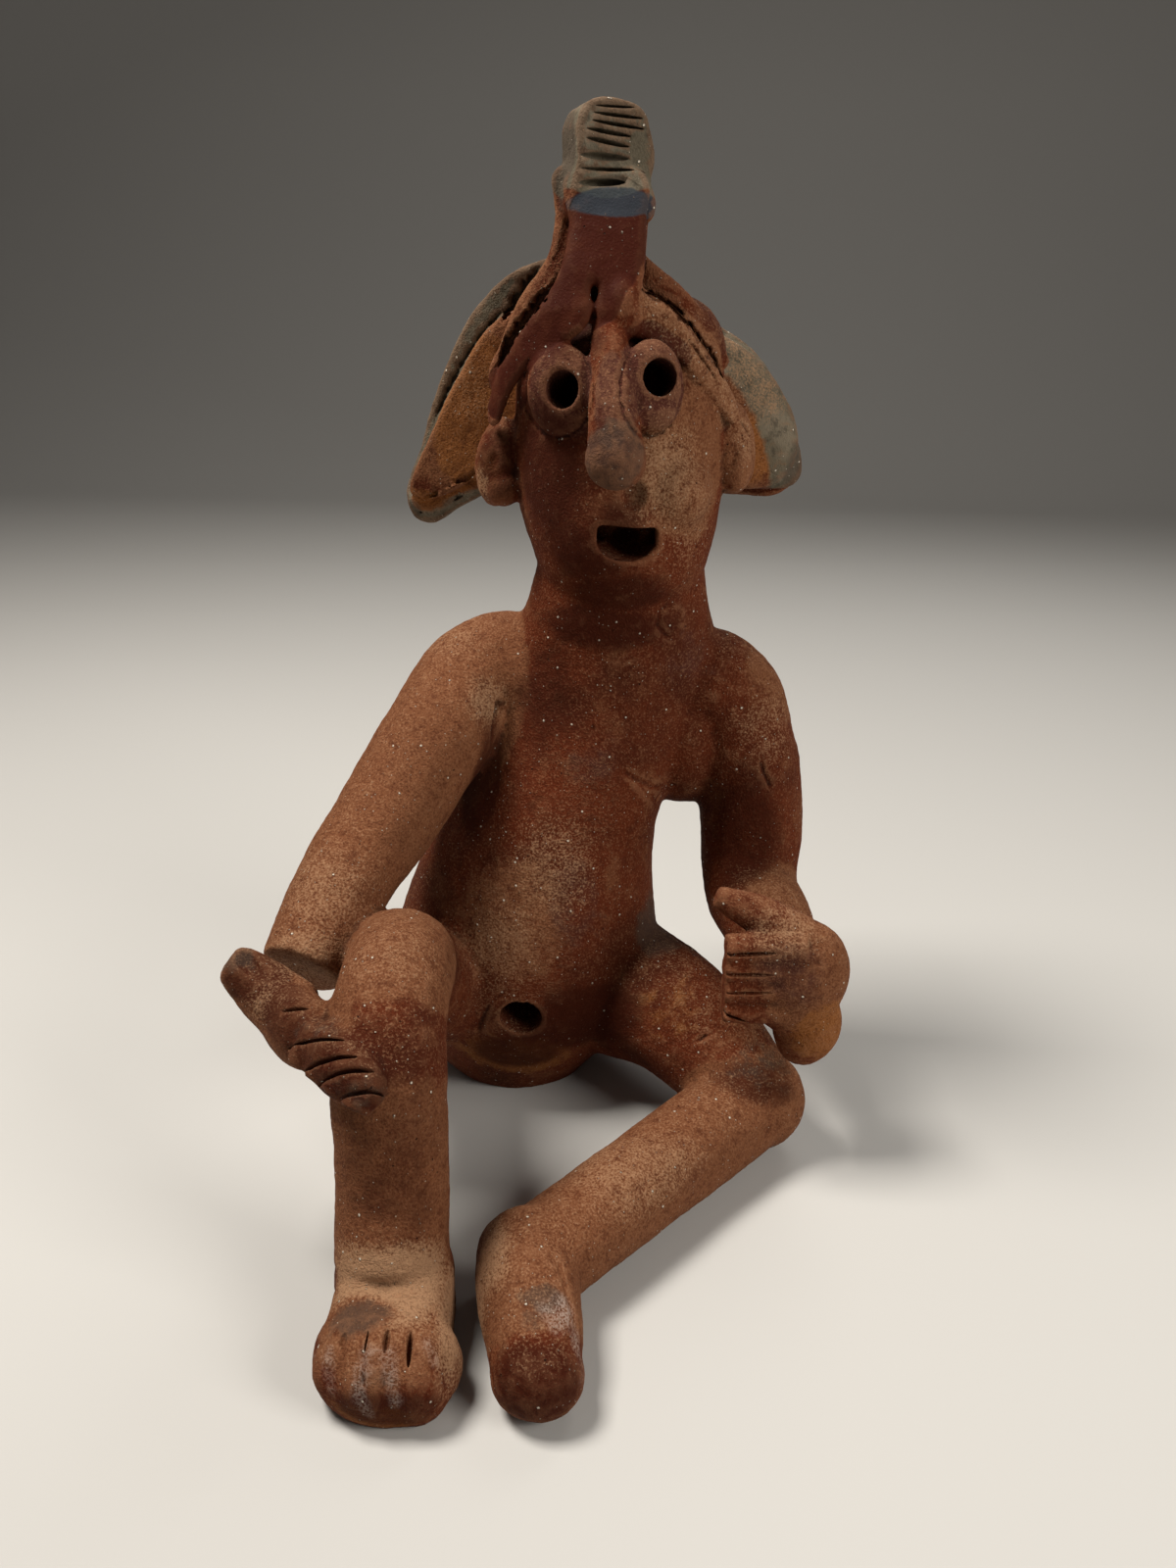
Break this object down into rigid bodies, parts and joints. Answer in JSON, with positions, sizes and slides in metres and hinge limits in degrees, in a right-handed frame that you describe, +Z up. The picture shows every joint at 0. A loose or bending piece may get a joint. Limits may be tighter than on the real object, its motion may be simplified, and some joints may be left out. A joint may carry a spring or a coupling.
{
  "type": "clay figurine",
  "caption": "Seated hand-modelled clay figurine in a winged headdress with an upright notched crest, one knee drawn up and the other leg folded in front.",
  "frame": {"origin": "middle of the flat seat, on the surface that the figure sits on", "axes": "+Z up along the seated figure; the figure faces -Y; its left side is towards +X"},
  "size_m": [0.1159, 0.1319, 0.1991],
  "materials": {
    "fired_clay": "unglazed fired clay, matt, with worn grey-green paint on the headdress"
  },
  "bodies": {
    "root": {"figurine": "fired_clay"}
  },
  "joints": []
}
